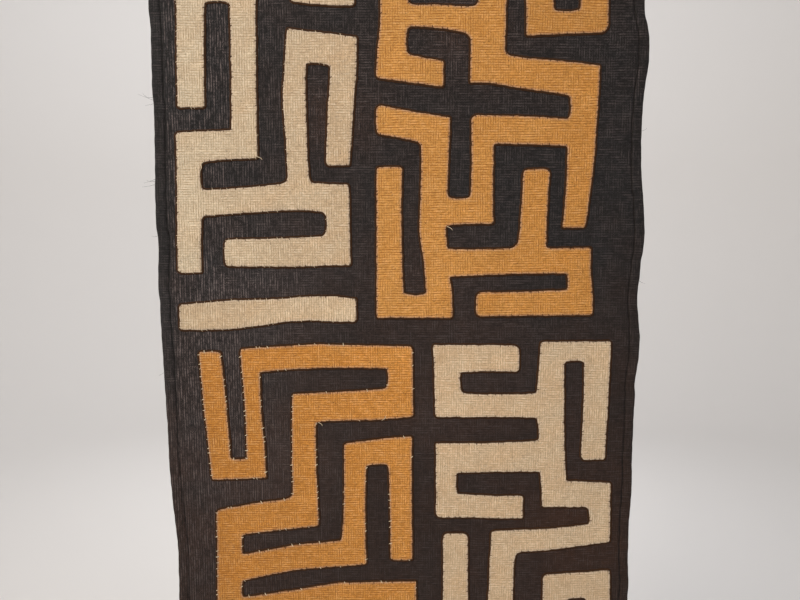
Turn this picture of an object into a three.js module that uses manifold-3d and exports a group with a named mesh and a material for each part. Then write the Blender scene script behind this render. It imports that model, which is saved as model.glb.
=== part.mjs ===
// A panel of dark raffia cloth that hangs by its top edge, with maze motifs cut from natural
// and ochre raffia sewn to its front. Millimetres. X runs across the panel, the front faces
// -Y, +Z is up, and the origin is the middle of the top edge. A "drop" is a distance below it.

import * as THREE from "three";
import { TessellateModifier } from "three/addons/modifiers/TessellateModifier.js";
import { mergeVertices } from "three/addons/utils/BufferGeometryUtils.js";
import Module from "manifold-3d";

const wasm = await Module();
wasm.setup();

// Driving dimensions
const clothWidth = 450;
const clothLength = 740;
const clothThickness = 1.2;
const motifThickness = 1;
const motifGap = 0.4;
const motifCornerRadius = 4;
const latticeStep = 20;
const longestMotifFacet = 34;

// Where the two long sides run. Columns: drop, left side x, right side x
const sides = [
  [0, -228, 221.5],
  [90, -227.5, 221],
  [122, -226, 226],
  [142, -226.5, 227],
  [186, -225, 223],
  [240, -227, 223],
  [276, -227.5, 226.5],
  [298, -227, 228.5],
  [317, -225.5, 228],
  [352, -228, 224.5],
  [397, -226.5, 227.5],
  [442, -224.5, 224],
  [455, -224, 225],
  [524, -223.5, 224.5],
  [560, -221, 224],
  [584, -218.5, 223],
  [645, -218, 226],
  [740, -218, 222],
];

// Section of the folded hem, with the groove that its stitches pull in.
// Columns: distance from the edge, front face, back face, both measured towards the back
const hemSection = [
  [0, 0.5, 1.9],
  [1.2, -0.2, 2.6],
  [9.6, -0.2, 2.8],
  [11, 0.5, 2.2],
  [12.6, 0, clothThickness],
];

// Waves of the hanging cloth, growing from none at the top edge to their height at the bottom.
// Columns: height, width of one wave, sideways shift per drop, x where it crosses the plane
const waves = [
  [2.6, 430, 0.12, 30],
  [1, 230, -0.25, -60],
];

// Ripples of the two hems, which fade towards the middle.
// Columns: side (-1 left, 1 right), height, length of one ripple, drop where it starts
const hemRipples = [
  [-1, 1.1, 128, 20],
  [1, 1.3, 154, 65],
];
const rippleReach = 7;

// The motifs. Each is one piece of cloth, charted as straight bands that run across or down it.
// Columns of "across": x from, x to, middle drop at each end, band width at each end
// Columns of "down": drop from, drop to, middle x at each end, band width at each end
const motifs = {
  beige_maze_upper_left: {
    cloth: "natural",
    across: [
      [-202, -129, 79, 79, 26, 26],
      [-206, -131, 221, 217, 28, 27],
      [-207, -93, 273, 265.5, 24, 25],
      [-93, -47, 265, 268, 26, 28],
      [-106, -38, 130, 135, 29, 26],
      [-164, -46, 318, 315, 25, 29],
    ],
    down: [
      [66, 185, -188, -191, 25, 25],
      [66, 230, -141.5, -143.5, 23, 23],
      [208, 336, -194, -197, 22, 23],
      [118, 265, -96, -94, 23, 22],
      [122, 237, -50, -57, 24, 22],
      [257, 329, -58, -57.5, 22, 22],
    ],
  },
  beige_bar_left: {
    cloth: "natural",
    across: [
      [-208, -125, 378, 374, 25, 25],
      [-125, -89, 374, 370, 25, 23],
      [-89, -41, 370, 371, 23, 23],
    ],
    down: [],
  },
  beige_bar_top: {
    cloth: "natural",
    across: [[-99, -41, 82, 82, 27, 26]],
    down: [],
  },
  ochre_maze_upper_right: {
    cloth: "ochre",
    across: [
      [-18, 75, 103, 107.5, 19, 25],
      [-22, 39, 145.5, 155, 26, 22],
      [63, 182, 147, 163, 27, 30],
      [65, 178, 204, 208, 26, 25],
      [-22, 46, 195, 207, 26, 27],
      [31, 87, 280, 278, 25, 25],
      [31, 179, 327.5, 324, 26, 24],
      [-22, 50, 367.5, 367.5, 24, 24],
      [71, 182, 365.5, 363.5, 23, 25],
    ],
    down: [
      [39, 116, -5, -6, 26, 26],
      [116, 158, -6, -8, 26, 27],
      [39, 112, 83, 83.5, 26, 26],
      [112, 163, 80, 79, 31, 32],
      [150, 236, 169, 166, 26, 25],
      [236, 293, 166, 162, 25, 22],
      [192, 290, 75.5, 75.5, 22, 21],
      [193, 301, 33.5, 30.5, 26, 25],
      [301, 378, 31, 38, 25, 24],
      [238, 378, -9.5, -9.5, 25, 26],
      [240, 326, 126, 123, 25, 27],
      [314, 375, 166.5, 170, 23, 24],
    ],
  },
  ochre_bracket_top_right: {
    cloth: "ochre",
    across: [[114, 189, 111, 109, 22, 23]],
    down: [
      [39, 120, 126, 126.5, 24, 25],
      [39, 118, 174.5, 176.5, 26, 26],
    ],
  },
  ochre_maze_lower_left: {
    cloth: "ochre",
    across: [
      [-151, -80, 420, 415, 23, 23],
      [-80, 12, 415, 416, 23, 22],
      [-103, 13, 466, 460, 28, 29],
      [-182, -129, 526.5, 524.5, 21, 21],
      [-54, 12, 511.5, 505.5, 24, 26],
      [-179, -79, 580.5, 566, 29, 31],
      [-178, -98, 630.5, 614, 28, 26],
      [-98, -33, 614, 608, 26, 28],
      [-182, -60, 671.5, 656, 29, 29],
      [-60, 16, 656, 653.5, 29, 29],
    ],
    down: [
      [410, 460, -180.5, -177, 21, 22.5],
      [460, 535, -177, -172, 22.5, 20.5],
      [411, 534, -143.5, -138, 19, 18],
      [405, 473, -0.5, 1, 23, 24],
      [455, 516, -91.5, -92, 23, 23],
      [516, 578, -92, -91, 23, 25],
      [568, 684, -165.5, -168, 25, 25],
      [500, 556, -43, -43, 22, 21],
      [556, 620, -43, -45, 22.5, 26],
      [493, 617, -0.5, 1.5, 22, 22],
    ],
  },
  beige_maze_lower_right: {
    cloth: "natural",
    across: [
      [31, 113, 417, 417, 27, 25],
      [33, 144, 461.5, 462, 22, 24],
      [133, 200, 410, 410.5, 20, 20],
      [34, 146, 514, 511.5, 30, 31],
      [34, 119, 560, 562, 24, 23],
      [136, 204, 548, 551, 27, 25],
      [89, 146, 597.5, 594.5, 22, 22],
      [146, 205, 594.5, 588, 22, 21],
    ],
    down: [
      [405, 474, 44, 46, 26, 25],
      [401, 457, 144, 144, 24, 26],
      [457, 563, 143.5, 149, 26, 25],
      [401, 516, 187, 186, 24, 24],
      [502, 573, 44, 45, 21, 21],
      [540, 599, 192.5, 194.5, 21, 21],
      [589, 699, 100, 98, 24, 24],
    ],
  },
  beige_bar_bottom: {
    cloth: "natural",
    across: [],
    down: [[589, 699, 54, 55, 24, 25]],
  },
  beige_bracket_bottom_right: {
    cloth: "natural",
    across: [[140, 206, 643, 641, 27, 27]],
    down: [
      [630, 689, 152, 152, 24, 24],
      [629, 689, 194, 195, 24, 24],
    ],
  },
};

const materials = {
  ground: new THREE.MeshStandardMaterial({ color: 0x362d2a, roughness: 0.95, metalness: 0 }),
  natural: new THREE.MeshStandardMaterial({ color: 0xc2a684, roughness: 0.9, metalness: 0 }),
  ochre: new THREE.MeshStandardMaterial({ color: 0xba7f41, roughness: 0.9, metalness: 0 }),
};

// The values in a table's other columns, at a place given in its first column
function rowAt(table, place) {
  const after = table.findIndex(([start]) => start >= place);
  if (after === 0) return table[0].slice(1);
  if (after < 0) return table.at(-1).slice(1);
  const [from, to] = [table[after - 1], table[after]];
  const share = (place - from[0]) / (to[0] - from[0]);
  return from.slice(1).map((value, column) => THREE.MathUtils.lerp(value, to[column + 1], share));
}

// A point of the hanging cloth, so far behind its front face
function hang(x, drop, behind) {
  const fall = drop / clothLength;
  let forward = 0;
  for (const [height, width, shift, start] of waves) {
    forward += height * fall * Math.sin((2 * Math.PI * (x - start + shift * drop)) / width);
  }
  const [left, right] = rowAt(sides, drop);
  for (const [side, height, length, start] of hemRipples) {
    const inward = Math.max(0, side < 0 ? x - left : right - x);
    const ripple = Math.sin((2 * Math.PI * (drop - start)) / length);
    forward += height * Math.min(1, 3 * fall) * Math.exp(-inward / rippleReach) * ripple;
  }
  return new THREE.Vector3(x, behind - forward, -drop);
}

// Only positions are kept, and shared corners become one vertex
function closedGeometry(geometry) {
  for (const name of Object.keys(geometry.attributes)) {
    if (name !== "position") geometry.deleteAttribute(name);
  }
  const merged = mergeVertices(geometry, 1e-3);
  merged.clearGroups();
  return merged;
}

// Moves every vertex of a geometry to where a function puts it
function bend(geometry, place) {
  const points = geometry.attributes.position;
  for (let i = 0; i < points.count; i += 1) {
    const moved = place(new THREE.Vector3().fromBufferAttribute(points, i));
    points.setXYZ(i, moved.x, moved.y, moved.z);
  }
  geometry.computeVertexNormals();
  return geometry;
}

// Lines of the cloth's lattice along one of its sizes, with those of the hem at both ends
function latticeLines(size) {
  const hemLines = hemSection.map(([inward]) => inward);
  const first = hemLines.at(-1);
  const count = Math.round((size - 2 * first) / latticeStep);
  const step = (size - 2 * first) / count;
  const middle = Array.from({ length: count - 1 }, (_, i) => first + (i + 1) * step);
  return [...hemLines, ...middle, ...hemLines.map((inward) => size - inward).reverse()];
}

// The ground is a box with a grid of vertices, which are moved to the lattice of the cloth
function groundCloth() {
  const columns = latticeLines(clothWidth);
  const rows = latticeLines(clothLength);
  const across = columns.length - 1;
  const down = rows.length - 1;
  const box = closedGeometry(new THREE.BoxGeometry(across, 1, down, across, 1, down));
  return bend(box, (vertex) => {
    const along = columns[Math.round(vertex.x + across / 2)];
    const drop = rows[Math.round(down / 2 - vertex.z)];
    const [left, right] = rowAt(sides, drop);
    const inward = Math.min(along, clothWidth - along, drop, clothLength - drop);
    const [front, back] = rowAt(hemSection, inward);
    const x = THREE.MathUtils.lerp(left, right, along / clothWidth);
    return hang(x, drop, vertex.y < 0 ? front : back);
  });
}

// A band as a flat bar, drawn with X across and Y up
function bandSolid(corners) {
  const shape = new THREE.Shape(corners.map(([x, drop]) => new THREE.Vector2(x, -drop)));
  const bar = new THREE.ExtrudeGeometry(shape, { depth: motifThickness, bevelEnabled: false });
  const merged = closedGeometry(bar);
  return new wasm.Manifold(
    new wasm.Mesh({
      numProp: 3,
      vertProperties: merged.attributes.position.array,
      triVerts: new Uint32Array(merged.index.array),
    }),
  );
}

function joinedBands({ across, down }) {
  const bars = [];
  for (const [from, to, dropFrom, dropTo, widthFrom, widthTo] of across) {
    bars.push([
      [from, dropFrom + widthFrom / 2],
      [to, dropTo + widthTo / 2],
      [to, dropTo - widthTo / 2],
      [from, dropFrom - widthFrom / 2],
    ]);
  }
  for (const [from, to, xFrom, xTo, widthFrom, widthTo] of down) {
    bars.push([
      [xTo - widthTo / 2, to],
      [xTo + widthTo / 2, to],
      [xFrom + widthFrom / 2, from],
      [xFrom - widthFrom / 2, from],
    ]);
  }
  return bars.map(bandSolid).reduce((sum, bar) => sum.add(bar));
}

// The closed loops around the front face of the joined bands, each followed with cloth on its left
function outlineLoops(solid) {
  const mesh = solid.getMesh();
  const corner = (v) => Array.from(mesh.vertProperties.slice(v * mesh.numProp, v * mesh.numProp + 3));
  const next = new Map();
  const seen = new Set();
  for (let t = 0; t < mesh.triVerts.length; t += 3) {
    const triangle = Array.from(mesh.triVerts.slice(t, t + 3));
    if (triangle.some((v) => corner(v)[2] < motifThickness / 2)) continue;
    triangle.forEach((v, i) => seen.add(`${v} ${triangle[(i + 1) % 3]}`));
  }
  for (const edge of seen) {
    const [from, to] = edge.split(" ").map(Number);
    if (!seen.has(`${to} ${from}`)) next.set(from, to);
  }
  const loops = [];
  while (next.size > 0) {
    const loop = [];
    let at = next.keys().next().value;
    while (next.has(at)) {
      const [x, y] = corner(at);
      loop.push(new THREE.Vector2(x, y));
      const following = next.get(at);
      next.delete(at);
      at = following;
    }
    loops.push(withoutSmallSteps(loop));
  }
  return loops;
}

// Drops points that are nearly in line, and steps too short for scissors
function withoutSmallSteps(loop) {
  const shortestStep = 3;
  const leastBow = 0.4;
  const kept = loop.slice();
  for (let i = 0; i < kept.length; ) {
    const before = kept[(i + kept.length - 1) % kept.length];
    const after = kept[(i + 1) % kept.length];
    const chord = after.clone().sub(before);
    const bow = Math.abs(chord.cross(kept[i].clone().sub(before))) / chord.length();
    if (bow < leastBow) {
      kept.splice(i, 1);
      i = Math.max(0, i - 1);
    } else if (kept[i].distanceTo(after) < shortestStep) {
      kept[i] = kept[i].clone().add(after).multiplyScalar(0.5);
      kept.splice((i + 1) % kept.length, 1);
      i = Math.max(0, i - 1);
    } else {
      i += 1;
    }
  }
  return kept;
}

// The same loop with its corners turned round
function roundedPath(loop, path) {
  loop.forEach((point, i) => {
    const before = loop[(i + loop.length - 1) % loop.length];
    const after = loop[(i + 1) % loop.length];
    const radius = Math.min(
      motifCornerRadius,
      point.distanceTo(before) * 0.45,
      point.distanceTo(after) * 0.45,
    );
    const start = point.clone().add(before.clone().sub(point).setLength(radius));
    const end = point.clone().add(after.clone().sub(point).setLength(radius));
    if (i === 0) path.moveTo(start.x, start.y);
    else path.lineTo(start.x, start.y);
    path.quadraticCurveTo(point.x, point.y, end.x, end.y);
  });
  path.closePath();
  return path;
}

// A motif is cut flat, divided finely enough to bend, and laid on the front of the cloth
function motifCloth(chart) {
  const loops = outlineLoops(joinedBands(chart));
  const shape = new THREE.Shape();
  for (const loop of loops) {
    if (THREE.ShapeUtils.area(loop) > 0) roundedPath(loop, shape);
    else shape.holes.push(roundedPath(loop, new THREE.Path()));
  }
  const flat = new THREE.ExtrudeGeometry(shape, {
    depth: motifThickness,
    bevelEnabled: false,
    curveSegments: 2,
  });
  const divided = new TessellateModifier(longestMotifFacet, 12).modify(flat);
  return bend(closedGeometry(divided), ({ x, y, z }) => hang(x, -y, -motifGap - z));
}

function namedMesh(name, geometry, material) {
  const mesh = new THREE.Mesh(geometry, material);
  mesh.name = name;
  return mesh;
}

const cloth = new THREE.Group();
cloth.add(namedMesh("ground_cloth", groundCloth(), materials.ground));
for (const [name, chart] of Object.entries(motifs)) {
  cloth.add(namedMesh(name, motifCloth(chart), materials[chart.cloth]));
}

export default cloth;
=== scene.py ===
# A kuba raffia cloth that hangs by its top edge: a dark hemmed panel with maze motifs cut from
# natural and ochre raffia and sewn to its front. Shapes are worked out in millimetres, as
# x across the cloth and drop below its top edge, and become metres when a mesh is made.
import math
import random

import bpy
import numpy as np
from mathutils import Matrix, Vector
from mathutils.geometry import delaunay_2d_cdt


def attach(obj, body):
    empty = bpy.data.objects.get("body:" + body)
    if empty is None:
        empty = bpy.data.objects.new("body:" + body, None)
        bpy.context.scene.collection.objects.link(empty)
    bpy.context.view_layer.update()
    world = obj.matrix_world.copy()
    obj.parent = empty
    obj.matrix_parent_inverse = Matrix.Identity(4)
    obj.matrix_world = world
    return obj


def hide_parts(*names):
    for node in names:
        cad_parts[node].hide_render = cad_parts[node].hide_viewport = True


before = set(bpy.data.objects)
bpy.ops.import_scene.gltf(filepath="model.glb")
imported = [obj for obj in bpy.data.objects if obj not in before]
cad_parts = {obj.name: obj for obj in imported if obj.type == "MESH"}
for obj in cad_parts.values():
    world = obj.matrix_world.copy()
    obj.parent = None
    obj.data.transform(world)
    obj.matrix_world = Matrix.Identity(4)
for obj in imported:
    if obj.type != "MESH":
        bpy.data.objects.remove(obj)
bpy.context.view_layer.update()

metresPerMm = 0.001

# The cloth as it hangs

clothShape = {
    "width": 450,
    "length": 740,
    "thickness": 1.0,
    "hemPitch": 7.2,  # between the hem's stitches
    "middleStep": 4.7,  # mesh lines across the middle
    "rowStep": 1.8,
}

sideRows = [  # drop, left side x, right side x
    (0, -228, 221.5),
    (90, -227.5, 220.8),
    (102, -227.2, 221.4),
    (112, -226.4, 224.2),
    (122, -226.2, 226.2),
    (142, -226.4, 227.0),
    (164, -226.4, 224.4),
    (186, -225.2, 222.8),
    (217, -226.0, 222.4),
    (240, -227.0, 222.8),
    (262, -227.6, 224.9),
    (276, -227.4, 226.6),
    (294, -227.0, 228.4),
    (298, -226.8, 228.5),
    (303, -225.4, 228.5),
    (317, -225.6, 228.2),
    (322, -225.9, 226.8),
    (340, -227.2, 225.8),
    (352, -227.9, 224.4),
    (362, -226.9, 224.0),
    (384, -226.6, 226.0),
    (397, -226.4, 227.4),
    (419, -224.9, 226.7),
    (442, -224.6, 224.0),
    (455, -224.2, 225.2),
    (500, -223.8, 224.8),
    (524, -223.5, 224.4),
    (536, -222.2, 225.0),
    (560, -220.8, 224.0),
    (584, -218.7, 223.1),
    (609, -217.9, 223.8),
    (645, -218.2, 225.8),
    (740, -218, 222),
]

waveRows = [  # height, width of one wave, sideways shift per drop, x where it crosses the plane
    (2.6, 430, 0.12, 30),
    (1.0, 230, -0.25, -60),
]

hemRippleRows = [  # side, height, length of one ripple, drop where it starts
    (-1, 1.1, 128, 20),
    (1, 1.3, 154, 65),
]
ripplePlan = {"reach": 7, "growth": 3}  # mm inwards, and full at a third of the drop

hemSection = [  # distance from the edge, front face, back face, both measured towards the back
    (0, 1.0, 1.2),
    (0.3, 0.4, 1.9),
    (0.9, 0.05, 2.3),
    (1.8, -0.2, 2.5),
    (3.6, -0.3, 2.6),
    (5.4, -0.3, 2.6),
    (7.2, -0.3, 2.6),
    (8.8, -0.25, 2.6),
    (9.8, 0.0, 2.6),
    (10.6, 0.7, 2.4),
    (11.3, 0.75, 2.4),
    (12.0, 0.2, 2.5),
    (12.3, 0.1, 1.1),
    (13.4, 0.0, 1.0),
]

creaseRows = [  # x, drop, half length across, half width, depth, all in the hems
    (217, 309, 8, 1.6, 1.1),
    (-219, 298, 7, 1.4, 0.9),
    (-221, 176, 5, 1.2, 0.5),
    (215, 470, 5, 1.3, 0.5),
]


def fromRows(rows, places, column=1):
    # a charted value, along straight lines between the rows
    return np.interp(places, [row[0] for row in rows], [row[column] for row in rows])


def bell(away, reach, power=2):
    # 1 at no distance, and fading over the reach
    return np.exp(-((away / reach) ** power))


def fallingOff(drop, span):
    # 1 above the span, 0 below it
    return np.clip((span[1] - drop) / (span[1] - span[0]), 0, 1)


sideDrops = np.arange(0, clothShape["length"] + 1.0)
sideSmoothing = {"reach": 30, "spread": 3.5}  # mm


def smoothSide(column):
    reach = sideSmoothing["reach"]
    weights = bell(np.arange(-reach, reach + 1), sideSmoothing["spread"])
    rough = fromRows(sideRows, sideDrops, column)
    padded = np.pad(rough, reach, mode="reflect", reflect_type="odd")
    return np.convolve(padded, weights / weights.sum(), mode="valid")


smoothSides = (smoothSide(1), smoothSide(2))


def wander(place, seed, lengths, height):
    # a slow random walk to either side, the same each run
    luck = random.Random(seed)
    total = 0.0
    for length in lengths:
        total = total + np.sin(2 * math.pi * (place / length + luck.random())) * luck.uniform(0.6, 1)
    return height * total / len(lengths)


sideWander = ((3, (13, 23, 41), 0.3), (4, (11, 19, 37), 0.3))  # seed, wave lengths and height, mm


def sidesAt(drop):
    # x of the left and the right side
    return tuple(
        np.interp(drop, sideDrops, smooth) + wander(drop, *plan)
        for smooth, plan in zip(smoothSides, sideWander)
    )


puckerPlan = {"seed": 11, "waves": 7, "lengths": (24, 60), "height": 0.09, "atTop": 0.4}  # mm


def pucker(x, drop):
    # small unevenness of hand weaving, shared by the ground and what is sewn to it
    luck = random.Random(puckerPlan["seed"])
    total = 0.0
    for count in range(puckerPlan["waves"]):
        length = luck.uniform(*puckerPlan["lengths"])
        angle = luck.uniform(0, math.pi)
        along = (x * math.cos(angle) + drop * math.sin(angle)) / length
        total = total + np.sin(2 * math.pi * (along + luck.random()))
    return puckerPlan["height"] * total


def hangPoints(x, drop, behind):
    # from flat places in mm to places in metres on the hanging cloth
    x, drop, behind = (np.asarray(v, float) for v in np.broadcast_arrays(x, drop, behind))
    fall = drop / clothShape["length"]
    forward = pucker(x, drop) * np.minimum(1, puckerPlan["atTop"] + fall)
    for height, width, shift, start in waveRows:
        forward = forward + height * fall * np.sin(2 * math.pi * (x - start + shift * drop) / width)
    left, right = sidesAt(drop)
    for side, height, length, start in hemRippleRows:
        inward = np.maximum(0, x - left if side < 0 else right - x)
        ripple = np.sin(2 * math.pi * (drop - start) / length)
        fade = np.exp(-inward / ripplePlan["reach"]) * np.minimum(1, ripplePlan["growth"] * fall)
        forward = forward + height * fade * ripple
    return np.stack([x, behind - forward, -drop], axis=-1) * metresPerMm


# Materials

def linearColour(hexColour):
    channels = [int(hexColour[i:i + 2], 16) / 255 for i in (1, 3, 5)]
    linear = [c / 12.92 if c <= 0.04045 else ((c + 0.055) / 1.055) ** 2.4 for c in channels]
    return (*linear, 1.0)


def openSocket(sockets, name):
    # a mix node has several sockets of one name, and only one of them is in use
    if isinstance(name, int):
        return sockets[name]
    return next(socket for socket in sockets if socket.name == name and socket.enabled)


def addNode(tree, kind, inputs=None, **settings):
    # each input gets a value, or a link from a node or a socket
    made = tree.nodes.new("ShaderNode" + kind)
    for name, value in settings.items():
        setattr(made, name, value)
    for name, source in (inputs or {}).items():
        if isinstance(source, bpy.types.Node):
            source = next(socket for socket in source.outputs if socket.enabled)
        if isinstance(source, bpy.types.NodeSocket):
            tree.links.new(source, openSocket(made.inputs, name))
        else:
            openSocket(made.inputs, name).default_value = source
    return made


def newMaterial(name):
    material = bpy.data.materials.new(name)
    material.use_nodes = True
    tree = material.node_tree
    tree.nodes.clear()
    return material, tree


# Raffia is the skin of palm leaflets, split into flat strands: dry, stiff and slightly waxy,
# so it is nearly matt with a soft sheen, and each strand keeps a tone of its own.
raffiaWeave = {
    "strandPitch": 1.14,  # mm, both ways
    "strandHeight": 0.25,  # mm, of the bump
    "roundness": 0.4,  # of a strand, less is flatter
    "under": (-0.65, -0.35),  # where a strand goes under the one across it
    "stray": (0.8, 34),  # mm that strands wander sideways, and over which length
    "zoneSize": 13,  # mm, of areas where the ribs run one way
    "zoneSpread": 2.2,
    "gapLength": 5.5,  # mm, over which the gap between two ribs opens and closes
    "gapWidth": 0.7,  # share of a rib's half that its gap shades
    "gapOpens": (0.36, 0.56, 0.3),  # range of its noise, least depth
    "ribApart": 7.31,  # between ribs in the noises, so that each has its own tone
    # a pale rib, picked at random, shows as a painted highlight along its crest; the dull ones darken
    "crestSharpness": 3.0,
    "ridgeTones": (0.4, 0.66),  # range of the noise from a dull rib to a pale one
    "dullShare": 0.35,  # how far a dull rib darkens, beside how far a pale one shows
    "grooveEdge": (0.1, 0.8),  # a strand's height from its groove to its top
    "darkest": 0.25,  # least share of its tone that a strand keeps
}
raffiaSurface = {"IOR": 1.46, "Specular IOR Level": 0.3}
noiseRange = {"From Min": 0.3, "From Max": 0.7}  # where most of a noise lies


def ribsOneWay(tree, plan, acrossRibs, alongRibs, share, strength):
    # strands in pairs that lie close and show as ribs, with their tones, crests and gaps; a gap's darkening
    # is painted shade
    turns = addNode(tree, "Math", {0: acrossRibs, 1: raffiaWeave["strandPitch"]}, operation="DIVIDE")
    angle = addNode(tree, "Math", {0: turns, 1: math.pi}, operation="MULTIPLY")
    wave = addNode(tree, "Math", {0: angle}, operation="SINE")
    strand = addNode(tree, "Math", {0: turns}, operation="FLOOR")
    pairs = addNode(tree, "Math", {0: turns, 1: 0.5}, operation="MULTIPLY")
    noises = []
    for rounding, length in (("FLOOR", plan["toneLength"]), ("ROUND", raffiaWeave["gapLength"])):
        number = addNode(tree, "Math", {0: pairs}, operation=rounding)
        place = addNode(tree, "CombineXYZ", {0: number, 1: alongRibs})
        scale = (raffiaWeave["ribApart"], 1 / length, 1)
        scaled = addNode(tree, "VectorMath", {0: place, 1: scale}, operation="MULTIPLY")
        noise = {"Vector": scaled, "Scale": 1.0, "Detail": 3, "Roughness": 0.65}
        noises.append(addNode(tree, "TexNoise", noise, noise_dimensions="2D"))
    tone, opening = noises
    pairAngle = addNode(tree, "Math", {0: angle, 1: 0.5}, operation="MULTIPLY")
    pairWave = addNode(tree, "Math", {0: pairAngle}, operation="SINE")
    offGap = addNode(tree, "Math", {0: pairWave}, operation="ABSOLUTE")
    crest = addNode(tree, "Math", {0: offGap, 1: raffiaWeave["crestSharpness"]}, operation="POWER")
    # painted shade in the gap between two ribs, opening and closing along it
    depth = addNode(tree, "MapRange", {
        "Value": offGap, "From Max": raffiaWeave["gapWidth"], "To Min": plan["ribDepth"], "To Max": 0.0,
    })
    low, high, least = raffiaWeave["gapOpens"]
    run = addNode(tree, "MapRange", {"Value": opening, "From Min": low, "From Max": high, "To Min": least})
    for part in (run, share, strength):
        depth = addNode(tree, "Math", {0: depth, 1: part}, operation="MULTIPLY")
    gap = addNode(tree, "Math", {0: 1.0, 1: depth}, operation="SUBTRACT", use_clamp=True)
    return wave, strand, tone, crest, gap


def plainWeave(tree, plan):
    # one strand over and one under. "weaveLook" on the mesh says how far the ribs across the cloth
    # win over those down it, how much they show, and where a motif's folded rim gets a painted highlight
    grain = addNode(tree, "UVMap", uv_map="clothGrain")
    inMm = addNode(tree, "VectorMath", {0: grain, "Scale": 1000.0}, operation="SCALE")
    stray, strayLength = raffiaWeave["stray"]
    drift, zone = (
        addNode(tree, "TexNoise", {"Vector": inMm, "Scale": 1 / size, "Detail": 2}, noise_dimensions="2D")
        for size in (strayLength, raffiaWeave["zoneSize"])
    )
    centre, spread = (0.5, 0.5, 0.5), (2 * stray,) * 3
    centred = addNode(tree, "VectorMath", {0: drift.outputs["Color"], 1: centre}, operation="SUBTRACT")
    strayed = addNode(tree, "VectorMath", {0: centred, 1: spread, 2: inMm}, operation="MULTIPLY_ADD")
    x, y, _ = addNode(tree, "SeparateXYZ", {0: strayed}).outputs
    look = addNode(tree, "Attribute", attribute_name="weaveLook")
    ribsWin, strength, rim = addNode(tree, "SeparateXYZ", {0: look.outputs["Vector"]}).outputs
    spread = raffiaWeave["zoneSpread"]
    zoned = addNode(tree, "Math", {0: zone, 1: spread, 2: ribsWin}, operation="MULTIPLY_ADD")
    across = addNode(tree, "Math", {0: zoned, 1: spread / 2}, operation="SUBTRACT", use_clamp=True)
    down = addNode(tree, "Math", {0: 1.0, 1: across}, operation="SUBTRACT")
    waves, strands, tones, crests, gaps = zip(
        ribsOneWay(tree, plan, x, y, down, strength), ribsOneWay(tree, plan, y, x, across, strength),
    )
    over = addNode(tree, "Math", {0: waves[0], 1: waves[1]}, operation="MULTIPLY")
    raised = addNode(tree, "Math", {0: over, 1: across}, operation="SUBTRACT")
    low, high = raffiaWeave["under"]
    downOnTop = addNode(tree, "MapRange", {"Value": raised, "From Min": low, "From Max": high})
    hump = addNode(tree, "Math", {0: over}, operation="ABSOLUTE")
    rounded = addNode(tree, "Math", {0: hump, 1: raffiaWeave["roundness"]}, operation="POWER")
    gap = addNode(tree, "Math", {0: gaps[0], 1: gaps[1]}, operation="MULTIPLY")
    height = addNode(tree, "Math", {0: rounded, 1: gap}, operation="MULTIPLY")
    low, high = raffiaWeave["grooveEdge"]
    shade = addNode(tree, "MapRange", {
        "Value": rounded, "From Min": low, "From Max": high, "To Min": plan["grooveShade"],
    })
    tone, crest = (
        addNode(tree, "Mix", {"Factor": downOnTop, "A": pair[1], "B": pair[0]}, data_type="FLOAT")
        for pair in (tones, crests)
    )
    low, high = raffiaWeave["ridgeTones"]
    ridge = addNode(tree, "MapRange", {
        "Value": tone, "From Min": low, "From Max": high,
        "To Min": -raffiaWeave["dullShare"] * plan["toneSpread"], "To Max": plan["toneSpread"],
    })
    swing = addNode(tree, "Math", {0: ridge, 1: crest}, operation="MULTIPLY")
    shown = addNode(tree, "Math", {0: swing, 1: strength}, operation="MULTIPLY")
    # painted highlight on the crests of pale ribs
    pale = addNode(tree, "Math", {0: shown, 1: plan["ridgeGlow"]}, operation="MULTIPLY", use_clamp=True)
    dull = addNode(tree, "Math", {0: swing, 1: 0.0}, operation="MINIMUM")
    crossing = addNode(tree, "CombineXYZ", {0: strands[0], 1: strands[1]})
    luck = addNode(tree, "TexWhiteNoise", {"Vector": crossing}, noise_dimensions="2D").outputs["Value"]
    speck = addNode(tree, "MapRange", {"Value": luck, "To Min": -plan["speck"], "To Max": plan["speck"]})
    fleck = addNode(tree, "MapRange", {  # here and there a strand is dark or broken
        "Value": luck, "From Min": 1 - plan["flecks"], "From Max": 1 - plan["flecks"] / 2,
        "To Max": -plan["fleckDepth"],
    })
    for part in (dull, speck, fleck):
        factor = addNode(tree, "Math", {0: part, 1: strength, 2: 1.0}, operation="MULTIPLY_ADD")
        kept = addNode(tree, "Math", {0: factor, 1: raffiaWeave["darkest"]}, operation="MAXIMUM")
        shade = addNode(tree, "Math", {0: shade, 1: kept}, operation="MULTIPLY")
    return height, gap, pale, shade, rim, inMm


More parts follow.
